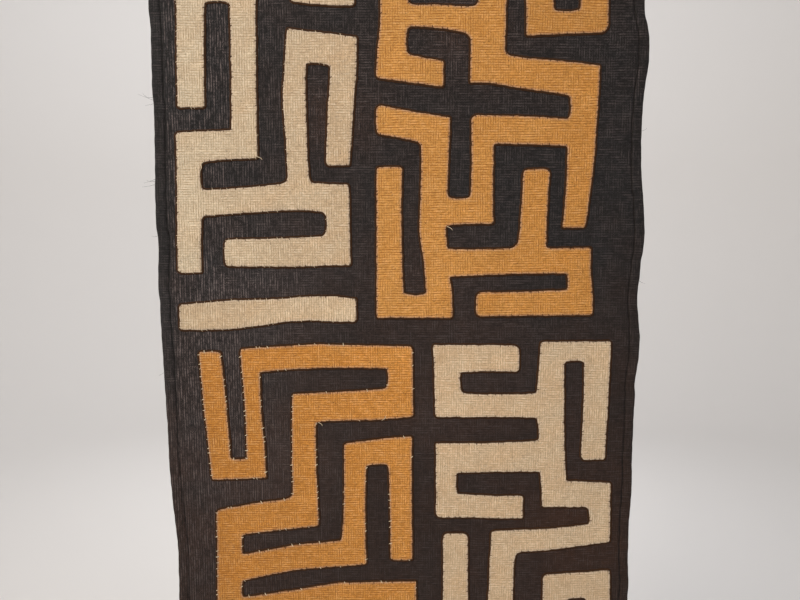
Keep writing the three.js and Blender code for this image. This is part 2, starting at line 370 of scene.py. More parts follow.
def raffiaCloth(name, plan):
    # a woven cloth whose dye goes from one colour to another by the "dyeTone" of its mesh, with its
    # sewn edge in a third that is partly painted shade, and painted shade and highlights on the weave
    material, tree = newMaterial(name)
    height, gap, pale, shade, rim, inMm = plainWeave(tree, plan)
    dye = addNode(tree, "Attribute", attribute_name="dyeTone")
    red, light, sewn = addNode(tree, "SeparateXYZ", {0: dye.outputs["Vector"]}).outputs
    blotch, mottle = (
        addNode(
            tree, "TexNoise",
            {"Vector": inMm, "Scale": 1 / plan[size], "Detail": detail, "Roughness": roughness},
            noise_dimensions="2D",
        )
        for size, detail, roughness in (("blotchSize", 3, 0.5), ("mottleSize", 4, 0.6))
    )
    redder = addNode(tree, "Math", {0: blotch, 1: plan["blotch"], 2: red}, operation="MULTIPLY_ADD")
    warm = addNode(tree, "Math", {0: redder, 1: plan["blotch"] / 2}, operation="SUBTRACT", use_clamp=True)
    mottled = addNode(tree, "MapRange", {
        "Value": mottle, **noiseRange, "To Min": 1 - plan["mottle"], "To Max": 1 + plan["mottle"],
    })
    for part in (mottled, light):
        shade = addNode(tree, "Math", {0: shade, 1: part}, operation="MULTIPLY")
    tint = {key: linearColour(value) for key, value in plan.items() if key.lower().endswith("colour")}
    dyed = {"Factor": warm, "A": tint["colour"], "B": tint["warmColour"]}
    # painted highlights along a motif's folded rim and on the crests of pale ribs
    for factor, colour in ((rim, "rimHighlightColour"), (pale, "ridgeHighlightColour")):
        dyed = {"Factor": factor, "A": addNode(tree, "Mix", dyed, data_type="RGBA"), "B": tint[colour]}
    ridged = addNode(tree, "Mix", dyed, data_type="RGBA")
    # painted shade in the gaps between ribs
    gapped = addNode(tree, "Mix", {"Factor": gap, "A": tint["gapShadeColour"], "B": ridged}, data_type="RGBA")
    body = addNode(tree, "VectorMath", {0: gapped, "Scale": shade}, operation="SCALE")
    # a motif's dark sewn edge, partly painted shade, and painted shade in the hem's stitch groove
    edged = addNode(tree, "Mix", {"Factor": sewn, "A": body, "B": tint["edgeAndShadeColour"]}, data_type="RGBA")
    bumpHeight = raffiaWeave["strandHeight"] * metresPerMm
    bump = addNode(tree, "Bump", {"Height": height, "Strength": plan["bump"], "Distance": bumpHeight})
    surface = addNode(tree, "BsdfPrincipled", {
        **raffiaSurface, "Roughness": plan["roughness"], "Sheen Weight": plan["sheen"],
        "Sheen Roughness": 0.45, "Base Color": edged, "Normal": bump,
    })
    addNode(tree, "OutputMaterial", {"Surface": surface})
    return material


# A single strand used as sewing thread: the same leaf skin, twisted, so its tone is even.
strandFibre = {"perMetre": 900.0, "darkest": 0.75, "lightest": 1.2}


def sewingStrand(name, colour, roughness):
    material, tree = newMaterial(name)
    place = addNode(tree, "TexCoord").outputs["Object"]
    fibre = addNode(tree, "TexNoise", {"Vector": place, "Scale": strandFibre["perMetre"], "Detail": 2})
    shade = addNode(tree, "MapRange", {
        "Value": fibre, **noiseRange,
        "To Min": strandFibre["darkest"], "To Max": strandFibre["lightest"],
    })
    tint = addNode(tree, "VectorMath", {0: linearColour(colour)[:3], "Scale": shade}, operation="SCALE")
    surface = addNode(tree, "BsdfPrincipled", {
        **raffiaSurface, "Roughness": roughness, "Base Color": tint,
    })
    addNode(tree, "OutputMaterial", {"Surface": surface})
    return material


# In each cloth the gap colour is painted shade, the rim and ridge colours painted highlights, and the edge
# colour a dark sewn edge that is partly painted shade
groundDye = {  # mud and plant dye takes unevenly, brown-black with greyer and redder areas
    "colour": "#2b292a", "warmColour": "#3b261b", "edgeAndShadeColour": "#0c0a0a", "rimHighlightColour": "#403a38",
    "gapShadeColour": "#141112", "ribDepth": 0.8, "grooveShade": 0.62, "ridgeHighlightColour": "#5c5352", "ridgeGlow": 0.4,
    "toneSpread": 0.75, "toneLength": 14, "speck": 0.13, "flecks": 0.004, "fleckDepth": 0.2,
    "mottle": 0.1, "mottleSize": 18, "blotch": 0.5, "blotchSize": 38,
    "bump": 0.5, "roughness": 0.82, "sheen": 0.03,
}
naturalRaffia = {  # undyed strands, dry straw beige, a little pink and yellow in places
    "colour": "#d4c6ad", "warmColour": "#cfaa80", "edgeAndShadeColour": "#40260f", "rimHighlightColour": "#e4cdb4",
    "gapShadeColour": "#a58b6a", "ribDepth": 0.75, "grooveShade": 0.86, "ridgeHighlightColour": "#f3e4cb", "ridgeGlow": 1.6,
    "toneSpread": 0.24, "toneLength": 9, "speck": 0.07, "flecks": 0.009, "fleckDepth": 0.22,
    "mottle": 0.04, "mottleSize": 30, "blotch": 0.3, "blotchSize": 22,
    "bump": 0.35, "roughness": 0.72, "sheen": 0.1,
}
ochreRaffia = {  # camwood and turmeric tones, an even golden orange with redder strands
    "colour": "#d29950", "warmColour": "#cb8736", "edgeAndShadeColour": "#3c220e", "rimHighlightColour": "#d0a584",
    "gapShadeColour": "#975b1c", "ribDepth": 0.75, "grooveShade": 0.84, "ridgeHighlightColour": "#edbb7f",
    "ridgeGlow": 1.15,
    "toneSpread": 0.26, "toneLength": 10, "speck": 0.07, "flecks": 0.006, "fleckDepth": 0.25,
    "mottle": 0.05, "mottleSize": 30, "blotch": 0.35, "blotchSize": 22,
    "bump": 0.35, "roughness": 0.72, "sheen": 0.1,
}

clothMaterials = {
    "ground": raffiaCloth("dyed black raffia cloth", groundDye),
    "natural": raffiaCloth("undyed raffia cloth", naturalRaffia),
    "ochre": raffiaCloth("ochre dyed raffia cloth", ochreRaffia),
}
strandMaterials = {
    "pale": sewingStrand("undyed raffia strand", "#e2d0b2", 0.7),
    "brown": sewingStrand("dark dyed raffia strand", "#4a2c18", 0.8),
    # the dark strand along each motif's edge, partly standing in for painted shade where it meets the ground
    "rust": sewingStrand("rust brown raffia strand and painted edge shade", "#3a2310", 0.9),
    "black": sewingStrand("black dyed raffia strand", "#211b1a", 0.8),
}
print("materials made")


# Meshes

def makeMesh(name, points, faces, materials, grain=None, looks=None, kinds=None):
    mesh = bpy.data.meshes.new(name)
    mesh.from_pydata(np.asarray(points).tolist(), [], faces)
    for material in materials:
        mesh.materials.append(material)
    mesh.polygons.foreach_set("use_smooth", np.ones(len(mesh.polygons), bool))
    if grain is not None:
        corners = np.empty(len(mesh.loops), np.int32)
        mesh.loops.foreach_get("vertex_index", corners)
        layer = mesh.uv_layers.new(name="clothGrain")
        layer.data.foreach_set("uv", (np.asarray(grain)[corners] * metresPerMm).ravel())
    for look, values in (looks or {}).items():
        layer = mesh.attributes.new(look, "FLOAT_VECTOR", "POINT")
        layer.data.foreach_set("vector", np.asarray(values, np.float32).ravel())
    if kinds is not None:
        mesh.polygons.foreach_set("material_index", np.asarray(kinds, np.int32))
    mesh.validate()
    piece = bpy.data.objects.new(name, mesh)
    bpy.context.scene.collection.objects.link(piece)
    return piece


dyeRows = [  # x, drop, reach, redder, lighter: where the ground's dye differs
    (-205, 120, 75, -0.2, 0.3),
    (-205, 220, 60, -0.15, 0.28),
    (-168, 368, 76, -0.2, 0.88),
    (-200, 490, 75, -0.2, 0.65),
    (-205, 610, 60, -0.1, 0.4),
    (-110, 520, 60, 0.0, 0.4),
    (-60, 190, 38, 0.45, 0.35),
    (60, 112, 42, 0.45, 0.45),
    (30, 335, 50, 0.25, 0.25),
    (25, 470, 42, 0.1, 0.25),
    (165, 580, 45, 0.35, 0.2),
    (-90, 330, 50, 0.0, 0.25),
    (150, 290, 80, -0.28, -0.05),
    (200, 180, 60, -0.1, 0.0),
    (90, 400, 80, 0.05, 0.15),
    (-10, 565, 50, -0.05, -0.12),
    (215, 600, 70, 0.15, 0.0),
]

dyeDrift = {"redder": 0.2, "redderBelow": 0.38, "from": 260, "to": 580}  # browner down the cloth


def groundTone(x, drop):
    below = np.clip((drop - dyeDrift["from"]) / (dyeDrift["to"] - dyeDrift["from"]), 0, 1)
    redder = dyeDrift["redder"] + dyeDrift["redderBelow"] * below
    lighter = np.ones(np.shape(x))
    for atX, atDrop, reach, red, light in dyeRows:
        near = bell(np.hypot(x - atX, drop - atDrop), reach)
        redder = redder + red * near
        lighter = lighter + light * near
    return np.clip(redder, 0, 1), lighter


groundRibs = {
    "least": 1.25, "above": 1.2, "aboveDrops": (120, 450),  # ribs show more up the cloth
    # along the left side the ribs get stronger painted highlights and painted gap shade
    "ribHighlight": 1.5, "ribHighlightBelow": 0.45, "ribHighlightDrops": (430, 520), "ribHighlightX": -205, "ribHighlightReach": 75,
    "across": 0.62, "down": 1.3, "downReach": 95,
}


def groundWeave(x, drop):
    # ribs down the cloth stand out along its left side, with stronger painted highlights on their crests and
    # painted shade in their gaps
    fromRibHighlight = x - groundRibs["ribHighlightX"]
    below = groundRibs["ribHighlightBelow"]
    ribHighlight = below + (1 - below) * fallingOff(drop, groundRibs["ribHighlightDrops"])
    ribHighlight = ribHighlight * bell(fromRibHighlight, groundRibs["ribHighlightReach"])
    upper = fallingOff(drop, groundRibs["aboveDrops"])
    strength = groundRibs["least"] + groundRibs["above"] * upper + groundRibs["ribHighlight"] * ribHighlight
    down = groundRibs["down"] * bell(fromRibHighlight, groundRibs["downReach"])
    return groundRibs["across"] * (1 - down), strength


hemPlan = {
    "left": 10.3, "right": 9.4, "ends": 10.6, "charted": 11.0,  # mm, edge to stitch groove
    "grooveWander": (8, (17, 29, 53), 0.7), "loose": (21, (9, 13, 31), 1.0),
    "fold": 12.3,  # mm, where the folded cloth ends, by the charted section
    "tuck": 0.1, "looseFront": 0.16, "looseBack": 0.1,  # mm
    # how wide the painted shade in the stitch groove is, and how thin the cloth gets
    "grooveWidth": 0.75, "thinnest": 0.4,  # mm
}


def grooveShift(x, drop):
    return wander(drop + 2 * x, *hemPlan["grooveWander"])


def hemmedSection(inward, x, drop):
    # front and back of the cloth and how far into the groove, all by the charted section
    inHem = np.clip(inward / 6, 0, 1) * np.clip((16 - inward) / 4, 0, 1)  # mm from the edge
    inward = inward + grooveShift(x, drop) * inHem
    front, back = (fromRows(hemSection, inward, column) for column in (1, 2))
    folded = np.clip((hemPlan["fold"] - inward) / 2.5, 0, 1) * np.clip(inward / 1.5, 0, 1)
    tuck = hemPlan["tuck"] * np.cos(2 * math.pi * drop / clothShape["hemPitch"])
    loose = wander(drop + 3 * x, *hemPlan["loose"])
    front = front - folded * (tuck + hemPlan["looseFront"] * loose)
    back = back - folded * (tuck + hemPlan["looseBack"] * loose)
    for atX, atDrop, halfLength, halfWidth, depth in creaseRows:
        front = front + depth * bell(x - atX, halfLength, 4) * bell(drop - atDrop, halfWidth)
    # where the stitch groove gets painted shade
    inGroove = bell(inward - hemPlan["charted"], hemPlan["grooveWidth"], 4)
    return front, np.maximum(back, front + hemPlan["thinnest"]), inGroove


def sheetFaces(down, across):
    # front and back grids and the rim that joins them
    index = np.arange(2 * down * across).reshape(2, down, across)
    faces = []
    for side in (0, 1):
        a, b = index[side, :-1, :-1], index[side, :-1, 1:]
        c, d = index[side, 1:, 1:], index[side, 1:, :-1]
        ring = (a, d, c, b) if side == 0 else (a, b, c, d)
        faces.append(np.stack(ring, -1).reshape(-1, 4))
    rim = np.concatenate([
        index[0, 0, :-1], index[0, :-1, -1], index[0, -1, :0:-1], index[0, :0:-1, 0],
    ])
    nextRim = np.roll(rim, -1)
    offset = down * across
    faces.append(np.stack([rim, nextRim, nextRim + offset, rim + offset], -1))
    return np.concatenate(faces).tolist()


hemLook = {  # how the side hems differ from the cloth beside them
    "reach": 13, "fade": 2,  # mm from the edge
    "left": 0.14, "grey": 0.16, "right": 0.06,  # darker by this share
    "outermost": 0.14, "outermostReach": 1.6,
    "greyDrops": (400, 490), "greyCooler": 0.2, "lowRedder": 0.1,
    "uneven": (35, (5.5, 9, 14, 37), 0.14),
    # painted shade in the stitch groove, weaker low on the left hem and on the right hem, and redder there
    "groove": 0.95, "grooveLow": 0.4, "grooveRight": 0.1, "grooveRedder": 0.5,
    "ribsAcross": 0.8, "ribsWeaker": 0.45,
    "back": 0.95,
}


def groundLooks(along, inward, x, drop, inGroove):
    # the left hem is greyer and worn less than the cloth beside it, but not at its lower end
    reach, fade = hemLook["reach"], hemLook["fade"]
    leftHem = np.clip((reach - along) / fade, 0, 1)
    rightHem = np.clip((along - clothShape["width"] + reach) / fade, 0, 1)
    greyHem = leftHem * fallingOff(drop, hemLook["greyDrops"])
    lowHem = leftHem - greyHem
    redder, lighter = groundTone(x, drop)
    uneven = wander(drop + 4 * along, *hemLook["uneven"]) * (leftHem + rightHem)
    outermost = hemLook["outermost"] * bell(inward, hemLook["outermostReach"]) * rightHem
    darker = hemLook["left"] * leftHem + hemLook["grey"] * greyHem + hemLook["right"] * rightHem
    lighter = lighter * (1 - darker - outermost + uneven)
    # painted shade in the hem's stitch groove
    groove = inGroove * (
        hemLook["groove"] - hemLook["grooveLow"] * lowHem - hemLook["grooveRight"] * rightHem
    )
    redder = redder - hemLook["greyCooler"] * greyHem + hemLook["lowRedder"] * lowHem
    redder = np.clip(redder + hemLook["grooveRedder"] * groove * rightHem, 0, 1)
    tone = np.stack([redder, lighter, groove], -1)
    backTone = np.stack([redder, lighter * hemLook["back"], 0 * redder], -1)
    ribsAcross, ribStrength = groundWeave(x, drop)
    ribsAcross = ribsAcross + hemLook["ribsAcross"] * greyHem
    ribStrength = ribStrength * (1 - hemLook["ribsWeaker"] * greyHem)
    weave = np.stack([ribsAcross, ribStrength, 0 * redder], -1)
    return {"dyeTone": np.concatenate([tone, backTone]), "weaveLook": np.concatenate([weave, weave])}


def makeGround():
    width, length = clothShape["width"], clothShape["length"]
    hemLines = np.array([row[0] for row in hemSection], float)
    leftScale, rightScale, endScale = (
        hemPlan[part] / hemPlan["charted"] for part in ("left", "right", "ends")
    )
    leftLines, rightLines = hemLines * leftScale, width - hemLines[::-1] * rightScale
    middle = np.arange(leftLines[-1], rightLines[0], clothShape["middleStep"])[1:-1]
    columns = np.concatenate([leftLines, middle, rightLines])
    # rows keep an even step, so the tucks between stitches show
    step = clothShape["rowStep"]
    edgeRows = np.array([0, 0.3, 0.9])
    rows = np.concatenate([edgeRows, np.arange(step, length - step, step), length - edgeRows[::-1]])
    along, drop = np.meshgrid(columns, rows)
    left, right = sidesAt(drop)
    x = left + (right - left) * along / width
    inward = np.minimum.reduce([
        along / leftScale, (width - along) / rightScale, drop / endScale, (length - drop) / endScale,
    ])
    front, back, inGroove = hemmedSection(inward, x, drop)
    ends = np.concatenate([hangPoints(x, drop, front), hangPoints(x, drop, back)])
    looks = groundLooks(*(values.ravel() for values in (along, inward, x, drop, inGroove)))
    return makeMesh(
        "ground_cloth_woven", ends.reshape(-1, 3), sheetFaces(*along.shape), [clothMaterials["ground"]],
        grain=np.tile(np.stack([x.ravel(), drop.ravel()], -1), (2, 1)), looks=looks,
    )


groundPiece = makeGround()
print("ground cloth made", len(groundPiece.data.polygons), "faces")

# The motifs, charted as straight bands
# across: x from, x to, middle drop at each end, band width at each end
# down: drop from, drop to, middle x at each end, band width at each end
# lighter and warm: at the left and right ends; paler: at the top and bottom ends
# ribs: how far those across win, how much they show
# strand: whether all its stitches are brown, or some pale
motifCharts = {
    "beige_maze_upper_left": {
        "cloth": "natural", "strand": "pale", "lighter": (0.9, 0.91), "paler": (1.015, 1.07),
        "warm": (0.15, 0.6), "ribs": (0.5, 1.85),
        "across": [
            (-202, -129, 79, 79, 26, 26),
            (-206, -131, 221.3, 217, 28.8, 27),
            (-207, -93, 273.2, 264.9, 23.8, 25.4),
            (-93, -47, 264.9, 268, 25.4, 28),
            (-102.5, -38, 129.6, 135.1, 29.6, 26),
            (-164, -100, 317.3, 316.85, 25.2, 27.3),
            (-100, -46, 316.85, 314.75, 27.3, 28.5),
        ],
        "down": [
            (66, 185, -188, -191, 25, 25),
            (66, 230, -141.4, -143.2, 24.2, 23.6),
            (208, 336, -193.8, -197, 22.6, 23),
            (118, 175, -93.8, -96.8, 18, 21.6),
            (175, 265, -96.8, -93.3, 21.6, 19.4),
            (122, 190, -50.4, -54.9, 23.2, 23.4),
            (190, 237, -54.9, -57.5, 23.4, 22.6),
            (257, 329, -58, -57.5, 22, 22),
        ],
    },
    "beige_bar_left": {
        "cloth": "natural", "strand": "pale", "lighter": (0.83, 1.04), "paler": (1.05, 1.05),
        "warm": (0.55, 0.4), "ribs": (0.25, 1.7),
        "across": [
            (-208, -161, 378, 375.7, 24.5, 27.8),
            (-161, -136, 375.7, 374, 27.8, 25.5),
            (-136, -111, 374, 371.5, 25.5, 22.3),
            (-111, -88, 371.5, 369.5, 22.3, 23.2),
            (-88, -64, 369.5, 369.6, 23.2, 24),
            (-64, -41, 369.6, 371.5, 24, 22.4),
        ],
        "down": [],
    },
    "beige_bar_top": {
        "cloth": "natural", "strand": "pale", "lighter": (0.92, 0.92), "paler": (1.03, 1.03),
        "warm": (0.4, 0.5), "ribs": (0.5, 1.7),
        "across": [
            (-99, -62, 80, 82, 23, 26.5),
            (-62, -41, 82, 82, 26.5, 26),
        ],
        "down": [],
    },
    "ochre_maze_upper_right": {
        "cloth": "ochre", "strand": "brown", "lighter": (0.93, 0.92), "paler": (1.03, 1.12),
        "warm": (0.1, 0.4), "ribs": (0.7, 2.0),
        "across": [
            (-18, 40, 102.2, 104.9, 17.6, 21.3),
            (40, 75, 104.9, 109.1, 21.3, 25.8),
            (-22, 40, 145.4, 155.2, 26.8, 23.4),
            (63, 110, 146.8, 154.2, 25.5, 28.1),
            (110, 182, 154.2, 162.5, 28.1, 31),
            (65, 115, 203.6, 205.4, 26.8, 26.3),
            (115, 178, 205.4, 208.4, 26.3, 24.2),
            (-22, 10, 195, 201.4, 27.2, 26.8),
            (10, 46, 201.4, 207.5, 26.8, 28),
            (31, 87, 280, 278, 25, 25),
            (31, 178.5, 327, 324.2, 26.8, 24),
            (-22, 50, 367.5, 367.5, 24, 24),
            (71, 182, 365.5, 363.5, 23, 25),
        ],
        "down": [
            (39, 116, -4.4, -5.6, 25, 25.6),
            (116, 158, -5.6, -8.3, 25.6, 28),
            (39, 112, 83, 83.5, 26, 26),
            (112, 163, 80, 79, 31, 32),
            (150, 236, 169.3, 166.2, 25.8, 25.6),
            (236, 294.3, 166.2, 161.7, 25.6, 21.6),
            (192, 290, 75.5, 75.5, 22, 21),
            (193, 301, 33.2, 30.3, 26.4, 25.6),
            (301, 320, 30.3, 33.4, 25.6, 23.6),
            (320, 378, 33.4, 38, 23.6, 24),
            (238, 378, -9.9, -9.8, 24.2, 27.4),
            (240, 326, 126, 122.3, 25, 27),
            (314, 375, 166.1, 169.6, 22.4, 23.2),
        ],
    },
    "ochre_bracket_top_right": {
        "cloth": "ochre", "strand": "brown", "lighter": (0.88, 0.86), "paler": (1.03, 1.03),
        "warm": (0.3, 0.3), "ribs": (0.7, 1.9),
        "across": [(114, 188.5, 110.8, 109.2, 21.8, 23)],
        "down": [
            (39, 120, 126, 126.2, 25, 25.6),
            (39, 118, 174.2, 176, 26.6, 26),
        ],
    },
    "ochre_maze_lower_left": {
        "cloth": "ochre", "strand": "pale", "lighter": (0.82, 0.99), "paler": (1.13, 1.03),
        "warm": (0.8, 0.6), "ribs": (0.7, 2.1),
        "across": [
            (-151, -80, 420, 415, 24.2, 23.4),
            (-80, 12, 415, 416, 23.4, 22),
            (-103, -20, 465.6, 461.8, 28.7, 30.3),
            (-20, 13, 461.8, 459.4, 30.3, 28.8),
            (-182, -129, 526.5, 524.5, 21, 21),
            (-54, 12, 511.5, 505.5, 24, 26),
            (-179, -140, 580.7, 574.8, 28.2, 31.1),
            (-140, -79, 574.8, 566.1, 31.1, 32.2),
            (-178, -98, 630.5, 613.3, 28, 26),
            (-98, -33, 613.3, 607.9, 26, 28.8),
            (-182, -104, 674.5, 662.4, 28, 30),
            (-104, -60, 662.4, 653.9, 30, 30),
            (-60, 16, 653.9, 652, 30, 30),
        ],
        "down": [
            (410.6, 460, -180.5, -177, 21, 22.5),
            (460, 535, -177, -172, 22.5, 20.5),
            (411, 534, -143.5, -138, 19, 18),
            (405, 473, -0.9, 0.6, 23.8, 24.8),
            (455, 516, -91.8, -92.4, 23.6, 23.8),
            (516, 578, -92.4, -91.1, 23.8, 25.8),
            (568, 684, -165.5, -168, 25, 25),
            (500, 556, -43, -43, 22, 21),
            (556, 620, -43.4, -45.1, 23.3, 26.4),
            (493, 616.2, -0.5, 1.5, 22.4, 22),
        ],
    },
    "beige_maze_lower_right": {
        "cloth": "natural", "strand": "brown", "lighter": (1.02, 1.01), "paler": (1.04, 1.02),
        "warm": (0.65, 0.5), "ribs": (0.5, 1.55),
        "across": [
            (31, 113, 416.7, 416.8, 27.6, 25.4),
            (33, 144, 461.5, 462, 22, 24),
            (133, 200, 410, 410.5, 20, 20),
            (34, 146, 514, 511.5, 30, 31),
            (34, 119, 560, 562, 24, 23),
            (136, 204, 548, 551, 27, 25),
            (89, 146, 597.1, 594.5, 22.8, 22),
            (146, 205, 594.5, 588, 22, 21),
        ],
        "down": [
            (405, 474, 44, 46, 26, 25),
            (401, 457, 143.6, 142.7, 24, 27.6),
            (457, 500, 142.7, 145.8, 27.6, 25.6),
            (500, 563, 145.8, 149.5, 25.6, 24.6),
            (401, 516, 186.7, 185.3, 24, 24),
            (502, 573, 44, 45, 21, 21),
            (540, 599, 192.5, 194.5, 21, 21),
            (589, 699, 99.6, 97.6, 24.8, 24.8),
        ],
    },
    "beige_bar_bottom": {
        "cloth": "natural", "strand": "brown", "lighter": (1.0, 1.0), "paler": (1.02, 1.02),
        "warm": (0.6, 0.6), "ribs": (0.5, 1.4),
        "across": [],
        "down": [(588.3, 699, 53.8, 54.8, 24.4, 25.4)],
    },
    "beige_bracket_bottom_right": {
        "cloth": "natural", "strand": "brown", "lighter": (0.99, 0.99), "paler": (1.02, 1.02),
        "warm": (0.6, 0.55), "ribs": (0.5, 1.4),
        "across": [(140, 206, 643, 640.7, 27, 27.6)],
        "down": [
            (630, 689, 151.7, 151.7, 24.6, 24.6),
            (629, 689, 194, 195, 24, 24),
        ],
    },
}

motifEdge = {  # mm
    "outerRadius": (2.0, 3.6),  # of corners cut round, and turned under
    "innerRadius": (1.6, 3.6),
    "slotRounding": (0.08, 0.2),
    "slotEnd": 32,  # a slot narrower than this has a round end
    "easyBend": 9,  # where a side turns by less than leastTurn
    "leastTurn": 0.3,
    "mostOfSide": 0.45,  # that a rounded corner takes
    "cornerNear": 8,  # how near a row of cornerRows is to its corner
    "sideBow": (-0.004, 0.005), "slotBow": (0.03, 0.07), "hollowBow": (0.003, 0.014),  # per length
    "outlineStep": 1.5,
    "wobble": (0.45, 12, 19, 31, 53),  # of the scissors: height, lengths
    "pulls": (0.28, 4.6, 6.1, 8.7),  # of the sewing
    "stitchPitch": 7.0, "stitchSlip": 0.35,
    "ringDepths": (0.12, 0.3, 0.55, 1.0, 1.8, 3.4, 6.0), "ringSpare": 0.93,
    "fillStep": 3.4,
}

cornerRows = [  # x, drop, how far it is rounded: corners cut rounder or sharper than the others
    (-102, 116, 1.5), (-85, 145, 1.3), (-64, 145, 4.5), (-47, 237, 1.3), (-104, 250, 9), (-83, 251, 6),
    (-204, 183, 1.5), (-181, 183, 1.5), (-153, 204, 1.3), (-132, 230, 1.3), (-183, 255, 4.5),
    (-184, 285, 4.5), (-164, 306, 6), (-160, 329, 4.5), (-69, 282, 5.5), (-69, 300, 8),
    (-48, 328, 1.6), (-68, 237, 4), (-209, 335, 4.5), (-187, 337, 1.6), (-40, 359, 1.5),
    (95, 137, 7), (61, 121, 9), (8, 113, 5), (-22, 158, 4.5), (155, 175, 5), (67, 191, 6.5),
    (-19, 183, 7), (-20, 207, 5), (18, 217, 5), (113, 243, 6), (137, 243, 6), (45, 265, 5),
    (85, 290, 1.3), (111, 309, 9), (176, 315, 1.3), (156, 337, 1.6), (72, 358, 7), (73, 374, 5),
    (48, 341, 1.6), (11, 91, 5), (68, 93, 7), (187, 115, 8),
    (10, 406, 7), (-13, 445, 5), (-130, 533, 1.3), (-106, 554, 6), (-177, 567, 6), (-79, 579, 1.3),
    (-32, 522, 1.6), (-12, 521, 6), (13, 405, 5), (-22, 240, 4), (12, 614, 1.6), (13, 639, 1.6),
    (111, 407, 7), (57, 431, 1.6), (58, 449, 6), (131, 449, 1.6), (128, 477, 4), (175, 514, 6),
    (199, 514, 1.6), (55, 531, 1.6), (55, 548, 1.6), (34, 570, 6), (118, 575, 1.3), (138, 564, 1.3),
    (182, 565, 6), (90, 588, 6), (114, 609, 9), (42, 591, 6), (66, 589, 6), (140, 632, 6),
]

edgeProfile = [  # distance from the edge, height of the turned-under edge and then the single cloth
    (0, -0.1), (0.12, 0.5), (0.3, 0.9), (0.55, 1.03), (1.0, 1.07), (1.8, 1.1), (3.4, 1.08), (6.0, 0.85),
    (9, 0.8),
]


def bandCorners(chart):
    bands = []
    for start, end, dropA, dropB, widthA, widthB in chart["across"]:
        bands.append([
            (start, -dropA - widthA / 2), (end, -dropB - widthB / 2),
            (end, -dropB + widthB / 2), (start, -dropA + widthA / 2),
        ])
    for start, end, xA, xB, widthA, widthB in chart["down"]:
        bands.append([
            (xB - widthB / 2, -end), (xB + widthB / 2, -end),
            (xA + widthA / 2, -start), (xA - widthA / 2, -start),
        ])
    return bands


def borderEdges(faces):
    # the directed edges that only one face has
    directed = {(face[i], face[(i + 1) % len(face)]) for face in faces for i in range(len(face))}
    return [(a, b) for a, b in sorted(directed) if (b, a) not in directed]


def outlineLoops(chart):
    # the bands joined into one cut piece, each loop followed with cloth on its left
    bands = bandCorners(chart)
    corners = [Vector(corner) for band in bands for corner in band]
    bandFaces = [list(range(4 * i, 4 * i + 4)) for i in range(len(bands))]
    points, _, faces, *_ = delaunay_2d_cdt(corners, [], bandFaces, 1, 1e-4)
    following = dict(borderEdges(faces))
    loops = []
    while following:
        at = next(iter(following))
        loop = []
        while at in following:
            loop.append(np.array(points[at]))
            at = following.pop(at)
        loops.append(withoutSmallSteps(loop))
    return loops


def withoutSmallSteps(loop, shortest=3.0, leastBow=0.4):
    # where two bands meet a little out of line, mm
    kept = list(loop)
    i = 0
    while i < len(kept):
        before, after = kept[i - 1], kept[(i + 1) % len(kept)]
        chord, arm = after - before, kept[i] - before
        bow = abs(chord[0] * arm[1] - chord[1] * arm[0]) / np.hypot(*chord)
        if bow < leastBow:
            kept.pop(i)
            i = max(0, i - 1)
        elif np.hypot(*(after - kept[i])) < shortest:
            kept[i] = (kept[i] + after) / 2
            kept.pop((i + 1) % len(kept))
            i = max(0, i - 1)
        else:
            i += 1
    return kept


def cornerRadius(point, sides, bend, bendsBeside, luck):
    slotSides = [
        side for side, other in zip(sides, bendsBeside) if side < motifEdge["slotEnd"] and other < 0
    ]
    radius = luck.uniform(*motifEdge["outerRadius"])
    if bend == 0:
        radius = motifEdge["easyBend"]
    elif bend < 0:
        radius = luck.uniform(*motifEdge["innerRadius"])
        if slotSides:
            radius = luck.uniform(*motifEdge["slotRounding"]) * slotSides[0]
    for atX, atDrop, charted in cornerRows:
        if bend and np.hypot(point[0] - atX, point[1] + atDrop) < motifEdge["cornerNear"]:
            radius = charted
    return radius


